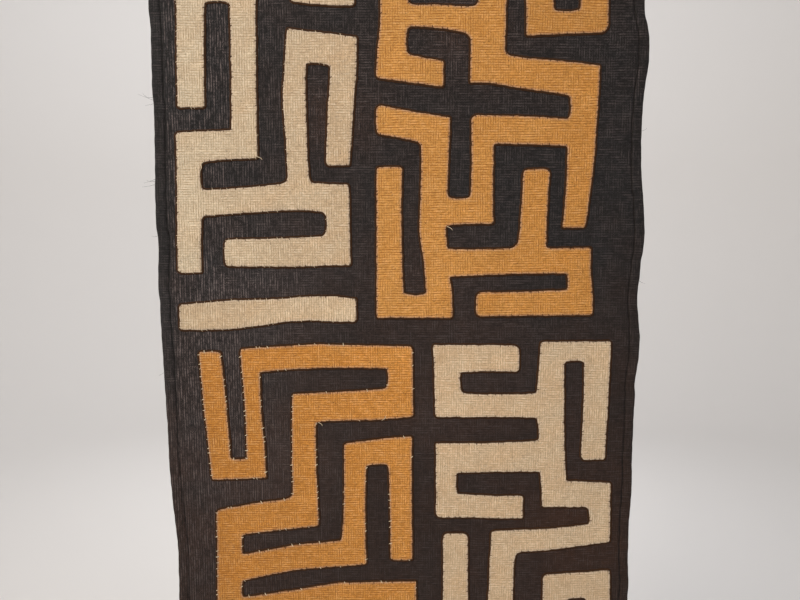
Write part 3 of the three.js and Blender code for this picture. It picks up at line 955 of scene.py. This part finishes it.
def handCutLoop(loop, seed):
    # corners turned round, sides bowed a little, sampled at an even step
    luck = random.Random(seed)
    count = len(loop)
    turns, lengths = [], []
    for i, point in enumerate(loop):
        back, ahead = point - loop[i - 1], loop[(i + 1) % count] - point
        lengths.append(np.hypot(*ahead))
        turns.append((back[0] * ahead[1] - back[1] * ahead[0]) / (np.hypot(*back) * lengths[-1]))
    bend = [0 if abs(turn) < motifEdge["leastTurn"] else math.copysign(1, turn) for turn in turns]
    arcs = []
    for i, point in enumerate(loop):
        before, after = loop[i - 1], loop[(i + 1) % count]
        sides = (lengths[i - 1], lengths[i])
        radius = cornerRadius(point, sides, bend[i], (bend[i - 1], bend[(i + 1) % count]), luck)
        start, end = (
            point + (other - point) / side * min(radius, motifEdge["mostOfSide"] * side)
            for other, side in zip((before, after), sides)
        )
        share = np.linspace(0, 1, 9)[:, None]
        arcs.append((1 - share) ** 2 * start + 2 * share * (1 - share) * point + share ** 2 * end)
    path = []
    for i, arc in enumerate(arcs):
        path.extend(arc)
        start, end = arc[-1], arcs[(i + 1) % count][0]
        along = end - start
        concave = (bend[i] < 0) + (bend[(i + 1) % count] < 0)
        bow = luck.uniform(*motifEdge["sideBow"])
        if concave == 2 and lengths[i] < motifEdge["slotEnd"]:
            bow = -luck.uniform(*motifEdge["slotBow"])
        elif concave:
            bow = -luck.uniform(*motifEdge["hollowBow"])
        outward = np.array([along[1], -along[0]])
        for share in np.linspace(0, 1, 13)[1:-1]:
            path.append(start + along * share + outward * bow * 4 * share * (1 - share))
    path = np.array(path)
    closed = np.vstack([path, path[:1]])
    travelled = np.concatenate([[0], np.cumsum(np.hypot(*np.diff(closed, axis=0).T))])
    steps = round(travelled[-1] / motifEdge["outlineStep"])
    places = np.linspace(0, travelled[-1], steps, endpoint=False)
    even = np.stack([np.interp(places, travelled, closed[:, axis]) for axis in (0, 1)], -1)
    wave = 0
    for part in ("wobble", "pulls"):
        height, *sizes = motifEdge[part]
        wholeWaves = [travelled[-1] / max(1, round(travelled[-1] / size)) for size in sizes]
        wave = wave + wander(places, seed, wholeWaves, height)
    return even + outwardNormals(even) * wave[:, None]


def outwardNormals(loop):
    tangent = np.roll(loop, -1, axis=0) - np.roll(loop, 1, axis=0)
    tangent /= np.hypot(*tangent.T)[:, None]
    return np.stack([tangent[:, 1], -tangent[:, 0]], -1)


def inParts(points, size=2000):
    # a few thousand at a time, to spare memory
    return np.array_split(np.arange(len(points)), max(1, len(points) // size))


def edgeDistance(points, loops):
    nearest = np.full(len(points), 1e9)
    for loop in loops:
        start, step = loop, np.roll(loop, -1, axis=0) - loop
        for part in inParts(points):
            gap = points[part, None, :] - start[None]
            share = np.clip((gap * step).sum(-1) / (step * step).sum(-1), 0, 1)
            away = gap - share[..., None] * step
            nearest[part] = np.minimum(nearest[part], np.sqrt((away * away).sum(-1)).min(1))
    return nearest


def inside(points, loops):
    crossings = np.zeros(len(points), int)
    for loop in loops:
        x0, y0 = loop.T
        x1, y1 = np.roll(loop, -1, axis=0).T
        for part in inParts(points):
            x, y = points[part, 0, None], points[part, 1, None]
            spans = (y0 > y) != (y1 > y)
            reach = x0 + (y - y0) * (x1 - x0) / np.where(y1 == y0, 1, y1 - y0)
            crossings[part] += (spans & (x < reach)).sum(1)
    return crossings % 2 == 1


def stitchPlaces(loops, luck):
    # where the overcast stitches cross the edge: place, outward direction
    places = []
    for loop in loops:
        normals = outwardNormals(loop)
        count = round(len(loop) * motifEdge["outlineStep"] / motifEdge["stitchPitch"])
        for i in range(count):
            slip = luck.uniform(-motifEdge["stitchSlip"], motifEdge["stitchSlip"])
            at = int((i + slip) * len(loop) / count) % len(loop)
            places.append((loop[at], normals[at]))
    return places


def cutPoints(loops):
    # the outline, rings close to it and an even filling
    points = list(loops)
    for depth in motifEdge["ringDepths"]:
        for loop in loops:
            ring = loop - outwardNormals(loop) * depth
            points.append(ring[edgeDistance(ring, loops) > motifEdge["ringSpare"] * depth])
    low, high = np.concatenate(loops).min(0), np.concatenate(loops).max(0)
    step = motifEdge["fillStep"]
    gridX, gridY = np.meshgrid(np.arange(low[0], high[0], step), np.arange(low[1], high[1], step))
    gridX = gridX + (np.arange(len(gridX)) % 2 * step / 2)[:, None]
    fill = np.stack([gridX.ravel(), gridY.ravel()], -1)
    fill = fill[inside(fill, loops)]
    points.append(fill[edgeDistance(fill, loops) > motifEdge["ringDepths"][-1] + 0.4 * step])
    return np.concatenate(points)


def trianglesInside(points, edges, loops, closeness):
    # the points joined by triangles within the loops, with each one's number among the points
    flat, _, faces, origins, *_ = delaunay_2d_cdt([Vector(p) for p in points], edges, [], 0, closeness)
    flat = np.array([tuple(p) for p in flat])
    faces = np.array([tuple(face) for face in faces])
    return flat, faces[inside(flat[faces].mean(1), loops)], origins


def cutSheet(loops):
    edges = []
    first = 0
    for loop in loops:
        edges += [(first + i, first + (i + 1) % len(loop)) for i in range(len(loop))]
        first += len(loop)
    flat, faces, _ = trianglesInside(cutPoints(loops), edges, loops, 1e-5)

    # the back is cut from the outline alone, and meets the front along it
    border = borderEdges(faces.tolist())
    rimIndex = sorted({a for a, _ in border})
    renumber = {old: new for new, old in enumerate(rimIndex)}
    rimEdges = [(renumber[a], renumber[b]) for a, b in border]
    _, backFaces, rimOrigin = trianglesInside([flat[i] for i in rimIndex], rimEdges, loops, 1e-6)
    toFront = np.array([rimIndex[origin[0]] for origin in rimOrigin])
    return flat, np.concatenate([faces, toFront[backFaces][:, ::-1]])


motifLook = {
    "pullReach": 1.9, "pullDepth": 0.34, "leastHeight": 0.12,  # mm, where a stitch draws the cloth in
    # painted shade in the dimples where stitches draw the cloth in, and darker towards the edge
    "pullDarker": 0.1, "edgeDarker": 0.09, "edgeReach": 2.6,
    "grainTurn": 0.03, "grainShift": 40,  # each piece is cut from its own place
    # a dark sewn edge, partly painted shade where the motif meets the ground
    "sewn": 0.97, "sewnReach": 0.4,
    "rim": 0.85, "rimAt": 0.9, "rimReach": 0.75,  # mm, a painted highlight along the fold of the turned-in edge
    "warmer": ((61, 97, 173), 0.15),
}


def makeMotif(name, chart, seed):
    luck = random.Random(seed)
    loops = [handCutLoop(loop, seed + 7 * i) for i, loop in enumerate(outlineLoops(chart))]
    stitches = stitchPlaces(loops, luck)
    flat, faces = cutSheet(loops)
    depth = edgeDistance(flat, loops)
    stitchAt = np.array([place for place, _ in stitches])
    pull = np.zeros(len(flat))
    for part in inParts(flat, 4000):
        away = np.hypot(*(flat[part, None, :] - stitchAt[None]).transpose(2, 0, 1)).min(1)
        pull[part] = bell(away, motifLook["pullReach"])
    height = fromRows(edgeProfile, depth)
    pulled = np.maximum(motifLook["leastHeight"], height - motifLook["pullDepth"] * pull)
    height = np.where(depth > 0.05, pulled, height)
    x, drop = flat[:, 0], -flat[:, 1]
    turn = luck.uniform(-motifLook["grainTurn"], motifLook["grainTurn"])
    grain = np.stack([
        x + turn * (drop - drop.mean()) + luck.uniform(0, motifLook["grainShift"]),
        drop - turn * (x - x.mean()) + luck.uniform(0, motifLook["grainShift"]),
    ], -1)
    alongX, alongDrop = ((v - v.min()) / (v.max() - v.min()) for v in (x, drop))
    lengths, swing = motifLook["warmer"]
    warm = np.interp(alongX, (0, 1), chart["warm"]) + wander(x + 2 * drop, seed, lengths, swing)
    light = np.interp(alongX, (0, 1), chart["lighter"]) * np.interp(alongDrop, (0, 1), chart["paler"])
    # painted shade in the dimples where stitches draw the cloth in
    light = light * (1 - motifLook["pullDarker"] * pull * (depth > 0.5))
    light = light * (1 - motifLook["edgeDarker"] * bell(depth, motifLook["edgeReach"]))
    # a dark sewn edge, partly painted shade
    sewn = motifLook["sewn"] * bell(depth, motifLook["sewnReach"])
    # a painted highlight along the fold of the turned-in edge
    rim = motifLook["rim"] * bell(depth - motifLook["rimAt"], motifLook["rimReach"])
    ribsAcross, ribStrength = chart["ribs"]
    piece = makeMesh(
        name + "_sewn", hangPoints(x, drop, -height), faces.tolist(), [clothMaterials[chart["cloth"]]],
        grain=grain,
        looks={
            "dyeTone": np.stack([np.clip(warm, 0, 1), light, sewn], -1),
            "weaveLook": np.stack([0 * x + ribsAcross, 0 * x + ribStrength, rim], -1),
        },
    )
    return piece, loops, stitches


def newStrands():
    return {"points": [], "faces": [], "kinds": []}


def addStrand(strands, path, radii, sides=5, closed=False, flat=1.0, kind=0):
    # a tube along the path, radii in mm
    path = np.asarray(path, float)
    if closed:
        tangent = np.roll(path, -1, axis=0) - np.roll(path, 1, axis=0)
    else:
        tangent = np.gradient(path, axis=0)
    tangent /= np.linalg.norm(tangent, axis=1)[:, None]
    # across runs out of the cloth, or up the cloth where the strand itself runs out of it
    helper = np.where(np.abs(tangent[:, 1:2]) < 0.9, [[0.0, 1.0, 0.0]], [[0.0, 0.0, 1.0]])
    side = np.cross(tangent, helper)
    side /= np.linalg.norm(side, axis=1)[:, None]
    other = np.cross(tangent, side)
    first, rings = len(strands["points"]), len(path)
    for i, centre in enumerate(path):
        for turn in np.arange(sides) * 2 * math.pi / sides:
            offset = math.cos(turn) * side[i] + flat * math.sin(turn) * other[i]
            strands["points"].append(centre + radii[i] * metresPerMm * offset)
    for i in range(rings if closed else rings - 1):
        ahead = (i + 1) % rings
        for k in range(sides):
            nextK = (k + 1) % sides
            strands["faces"].append((
                first + i * sides + k, first + i * sides + nextK,
                first + ahead * sides + nextK, first + ahead * sides + k,
            ))
    if not closed:
        strands["faces"].append(tuple(first + k for k in reversed(range(sides))))
        strands["faces"].append(tuple(first + (rings - 1) * sides + k for k in range(sides)))
    strands["kinds"] += [kind] * (len(strands["faces"]) - len(strands["kinds"]))


def makeThreads(name, strands, materials):
    return makeMesh(
        name, strands["points"], strands["faces"], [strandMaterials[key] for key in materials],
        kinds=strands["kinds"],
    )


overcastPlan = {  # mm, of the stitches that hold the motifs down
    "pale": {"inward": 1.3, "outward": 1.3, "radius": 0.36, "slant": 0.6},
    "brown": {"inward": 1.9, "outward": 0.7, "radius": 0.25, "slant": 0.8},
}
overcastUneven = {"slant": (0.5, 1.3), "reach": (0.5, 1.3), "radius": (0.7, 1.25)}
overcastBack = {"inset": 0.8, "length": (2.4, 4.2), "slant": 0.4}  # mm, the runs behind the ground
# share of the reach, height in front of the ground and thickness along a stitch, then the same behind
frontPath = ((-1.0, 0.5, 0.7), (-0.75, 1.15, 1), (-0.1, 1.05, 1), (0.35, 0.6, 1), (1.0, 0.0, 0.5))
backPath = ((0, -0.1, 0.8), (0.2, 0.2, 1), (0.8, 0.2, 1), (1, -0.1, 0.8))
paleShare = {"natural": (0.35, 0.12, 0.5), "ochre": (0.9, 0.5, 0.45)}  # at left, right and level edges
paleSize = {"natural": 0.62, "ochre": 1.0}
fewerPale = {"fromX": -75, "share": 0.35}  # further right on the cloth
sideways = 0.6  # how far an edge faces left or right to count as such


def isPale(chart, place, outward, luck):
    facing = 0 if outward[0] < -sideways else 1 if outward[0] > sideways else 2
    likely = paleShare[chart["cloth"]][facing]
    if place[0] > fewerPale["fromX"]:
        likely *= fewerPale["share"]
    return chart["strand"] == "pale" and luck.random() < likely


def makeOvercast(name, chart, stitches, seed):
    # pale strands show on the left motifs, most at the left edges of the ochre, the others are brown
    luck = random.Random(seed + 500)
    strands = newStrands()
    for place, outward in stitches:
        along = np.array([-outward[1], outward[0]])
        slant = luck.uniform(*overcastUneven["slant"])
        reach = luck.uniform(*overcastUneven["reach"])
        pale = isPale(chart, place, outward, luck)
        plan = overcastPlan["pale" if pale else "brown"]
        ends = []
        for share, height, _ in frontPath:
            size = plan["inward"] if share < 0 else plan["outward"]
            at = place + outward * share * size * reach + along * plan["slant"] * slant * share
            ends.append(hangPoints(at[0], -at[1], -height))
        thick = luck.uniform(*overcastUneven["radius"]) * plan["radius"]
        thick *= paleSize[chart["cloth"]] if pale else 1
        kind = 0 if pale else 1
        addStrand(strands, ends, [thick * share for *_, share in frontPath], kind=kind)
        start = place - outward * overcastBack["inset"]
        finish = start + along * luck.uniform(*overcastBack["length"])
        finish = finish + outward * luck.uniform(-overcastBack["slant"], overcastBack["slant"])
        ends = []
        for share, proud, _ in backPath:
            at = start + (finish - start) * share
            ends.append(hangPoints(at[0], -at[1], clothShape["thickness"] + proud))
        addStrand(strands, ends, [thick * share for *_, share in backPath], kind=kind)
    return makeThreads(name + "_overcast", strands, ("pale", "brown"))


edgeStrandAndShade = {  # mm, a dark strand laid along each edge, partly standing in for painted shade where the motif meets the ground
    "radius": 0.95, "flat": 0.5, "outward": 0.75, "height": 0.12, "uneven": ((7, 13, 29), 0.3),
}


# a dark strand outside each motif's edge, partly standing in for painted shade
def makeEdgeStrandAndShade(name, loops, seed):
    strands = newStrands()
    for loop in loops:
        out = loop + outwardNormals(loop) * edgeStrandAndShade["outward"]
        path = hangPoints(out[:, 0], -out[:, 1], -edgeStrandAndShade["height"])
        places = np.arange(len(loop)) * motifEdge["outlineStep"]
        radii = edgeStrandAndShade["radius"] * (1 + wander(places, seed + 5, *edgeStrandAndShade["uneven"]))
        addStrand(strands, path, radii, closed=True, flat=edgeStrandAndShade["flat"])
    return makeThreads(name + "_edge_strand_and_shade", strands, ("rust",))


motifPieces = {}
for seed, (name, chart) in enumerate(motifCharts.items(), 40):
    piece, loops, stitches = makeMotif(name, chart, seed)
    sewing = [makeOvercast(name, chart, stitches, seed), makeEdgeStrandAndShade(name, loops, seed)]
    motifPieces[name] = (piece, sewing, loops)
    print(name, len(piece.data.polygons), "faces,", len(stitches), "stitches")

hemStitch = {  # mm
    "length": 3.1, "radius": 0.28, "endRadius": 0.2, "slip": 0.25, "margin": 6,
    "lengthUneven": (0.7, 1.2), "pitchUneven": (0.9, 1.1),
    "front": ((0, 1.0), (0.25, 0.55), (0.75, 0.55), (1, 1.0)),  # share of its length, depth
    "back": ((0, 2.2), (0.3, 2.75), (0.62, 2.5), (1, 0.95)),
    "backFrom": 3, "backLength": 1.1, "backInward": (-0.6, 2.4),
}


def grooveAt(edge, place, slip):
    # x and drop of a place along one edge, slip mm further in than its stitch groove
    width, charted = clothShape["width"], hemPlan["charted"]
    if edge in ("top", "bottom"):
        inward = (charted + slip) * hemPlan["ends"] / charted
        drop = inward if edge == "top" else clothShape["length"] - inward
        left, right = sidesAt(drop)
        return left + (right - left) * place / width, drop
    left, right = sidesAt(place)
    side, into = (left, 1) if edge == "left" else (right, -1)
    inward = (charted - grooveShift(side, place) + slip) * hemPlan[edge] / charted
    return side + into * inward * (right - left) / width, place


def makeHemStitches():
    luck = random.Random(77)
    strands = newStrands()
    width, length = clothShape["width"], clothShape["length"]
    radii = [hemStitch[part] for part in ("endRadius", "radius", "radius", "endRadius")]
    for edge, total in (("left", length), ("right", length), ("top", width), ("bottom", width)):
        place = float(hemStitch["margin"])
        while place < total - hemStitch["margin"]:
            size = hemStitch["length"] * luck.uniform(*hemStitch["lengthUneven"])
            slip = luck.uniform(-hemStitch["slip"], hemStitch["slip"])
            front = [
                hangPoints(*grooveAt(edge, place + size * share, slip), behind)
                for share, behind in hemStitch["front"]
            ]
            back = []
            for share, behind in hemStitch["back"]:
                along = place + hemStitch["backFrom"] + hemStitch["backLength"] * share
                first, further = hemStitch["backInward"]
                back.append(hangPoints(*grooveAt(edge, along, slip + further * share + first), behind))
            addStrand(strands, front, radii)
            addStrand(strands, back, radii)
            place += clothShape["hemPitch"] * luck.uniform(*hemStitch["pitchUneven"])
    return makeThreads("hem_stitches", strands, ("black",))


hemStitches = makeHemStitches()

fibreRows = [  # side, drop, how far it sticks out, how far it falls, both in mm
    (-1, 176, 13, -3),
    (-1, 178, 9, -6),
    (-1, 181, 7, 2),
    (-1, 249, 10, 4),
    (-1, 251, 8, -1),
    (-1, 254, 11, 2),
    (-1, 301, 5, 1),
    (1, 343, 5, 3),
    (-1, 430, 4, 3),
    (1, 205, 4, -2),
]

threadEnds = [  # x and drop of both ends of a pale strand left hanging at a corner
    (-184, 236, -180, 231),
    (-183, 237, -185.5, 243),
    (-131.5, 229, -127, 232),
    (-78, 479, -74.5, 482.5),
    (44, 293, 48.5, 296.5),
    (-14, 473, -17.5, 477),
]
looseEnds = {  # mm
    "fibre": (0.13, 0.05), "thread": (0.3, 0.16),  # radius at the root and the tip
    "rooted": 1.5, "curl": 0.9, "curlTurns": (2.2, 3.4), "bend": 1.2, "lift": (1.1, 0.5),
}


def makeLooseFibres():
    luck = random.Random(91)
    strands = newStrands()
    for side, drop, out, fall in fibreRows:
        left, right = sidesAt(drop)
        edge = left if side < 0 else right
        path = []
        for share in np.linspace(0, 1, 7):
            x = edge + side * (out * share - looseEnds["rooted"] * (1 - share))
            curl = math.sin(share * luck.uniform(*looseEnds["curlTurns"])) * looseEnds["curl"]
            path.append(hangPoints(x, drop + fall * share ** 1.6 + curl, 0.6 - 1.2 * share))
        addStrand(strands, path, list(np.linspace(*looseEnds["fibre"], 7)), sides=4)
    for startX, startDrop, endX, endDrop in threadEnds:
        path = []
        for share in np.linspace(0, 1, 6):
            x = startX + (endX - startX) * share + looseEnds["bend"] * math.sin(math.pi * share)
            drop = startDrop + (endDrop - startDrop) * share
            low, high = looseEnds["lift"]
            path.append(hangPoints(x, drop, -low - high * math.sin(2.2 * share)))
        addStrand(strands, path, list(np.linspace(*looseEnds["thread"], 6)), kind=1)
    return makeThreads("loose_fibres", strands, ("black", "pale"))


looseFibres = makeLooseFibres()
print("hem stitches and loose fibres made")

# Each piece goes on the one body, and hides the part whose solid it replaces


def hang(piece, node=None):
    # on the part's one body, in place of its solid
    if node:
        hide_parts(node)
    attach(piece, "root")


def declarePieces():
    hang(groundPiece, "ground_cloth")
    for thread in (hemStitches, looseFibres):
        hang(thread)
    for name, (piece, sewing, loops) in motifPieces.items():
        hang(piece, name)
        for thread in sewing:
            hang(thread)


declarePieces()

# A pale round cove, far enough away to leave room behind the cloth

coveShape = {
    "floorZ": -1.15, "floorRadius": 2.4, "bend": 1.3, "wallTop": 2.6, "sides": 96, "bendSteps": 17,
    "paint": "#d9d5d0",
}


def makeCove():
    floorZ, floorRadius, bend = (coveShape[part] for part in ("floorZ", "floorRadius", "bend"))
    profile = [(floorRadius * share, floorZ) for share in (0.33, 0.66)]
    for turn in np.linspace(-math.pi / 2, 0, coveShape["bendSteps"]):
        profile.append((floorRadius + bend * math.cos(turn), floorZ + bend + bend * math.sin(turn)))
    profile.append((floorRadius + bend, coveShape["wallTop"]))
    sides = coveShape["sides"]
    points = [(0, 0, floorZ)]
    for radius, z in profile:
        for turn in np.arange(sides) * 2 * math.pi / sides:
            points.append((radius * math.cos(turn), radius * math.sin(turn), z))
    faces = [(0, 1 + k, 1 + (k + 1) % sides) for k in range(sides)]
    for ring in range(len(profile) - 1):
        start = 1 + ring * sides
        for k in range(sides):
            nextK = (k + 1) % sides
            faces.append((start + k, start + sides + k, start + sides + nextK, start + nextK))
    material, tree = newMaterial("matt pale studio paint")  # even and without gloss
    surface = addNode(tree, "BsdfPrincipled", {
        "Base Color": linearColour(coveShape["paint"]), "Roughness": 0.95, "IOR": 1.45,
        "Specular IOR Level": 0.1,
    })
    addNode(tree, "OutputMaterial", {"Surface": surface})
    return makeMesh("pale_cove", points, faces, [material])


cove = makeCove()

# Soft daylight from the upper left, a light on the cove, one behind the cloth, and an even fill

lightPlan = {  # place and aim in metres, size, power, colour
    "window_light": ((-1.05, -1.25, 0.45), (-0.05, 0, -0.3), 1.0, 26, "#fff6ea"),
    "wall_light": ((-0.22, 1.0, 1.4), (-0.22, 3.7, 0.7), 1.6, 49, "#f2f4fa"),
    "back_light": ((0.1, 1.5, 0.3), (0, 0, -0.35), 1.2, 12, "#f2f4fa"),
}
fillPlan = {"Color": linearColour("#e6e9f0"), "Strength": 0.75}


def makeLights():
    for name, (place, aim, size, power, colour) in lightPlan.items():
        data = bpy.data.lights.new(name, "AREA")
        data.shape = "SQUARE"
        data.size = size
        data.energy = power
        data.color = linearColour(colour)[:3]
        light = bpy.data.objects.new(name, data)
        light.location = place
        light.rotation_euler = (Vector(aim) - Vector(place)).to_track_quat("-Z", "Y").to_euler()
        light.visible_camera = False
        bpy.context.scene.collection.objects.link(light)
    world = bpy.data.worlds.new("soft_daylight")
    world.use_nodes = True
    world.node_tree.nodes.clear()
    glow = addNode(world.node_tree, "Background", fillPlan)
    addNode(world.node_tree, "OutputWorld", {"Surface": glow})
    bpy.context.scene.world = world


makeLights()

cameraPlan = {"distance": 0.566, "height": -0.312, "lookDown": 5.0, "lens": 27.18}


def makeCamera():
    data = bpy.data.cameras.new("front_view")
    data.sensor_width = 36
    data.lens = cameraPlan["lens"]
    data.clip_start = 0.01
    camera = bpy.data.objects.new("front_view", data)
    camera.location = (0, -cameraPlan["distance"], cameraPlan["height"])
    camera.rotation_euler = (math.radians(90 - cameraPlan["lookDown"]), 0, 0)
    bpy.context.scene.collection.objects.link(camera)
    bpy.context.scene.camera = camera


makeCamera()
bpy.context.scene.view_settings.view_transform = "Standard"
print("stage, lights and camera made")
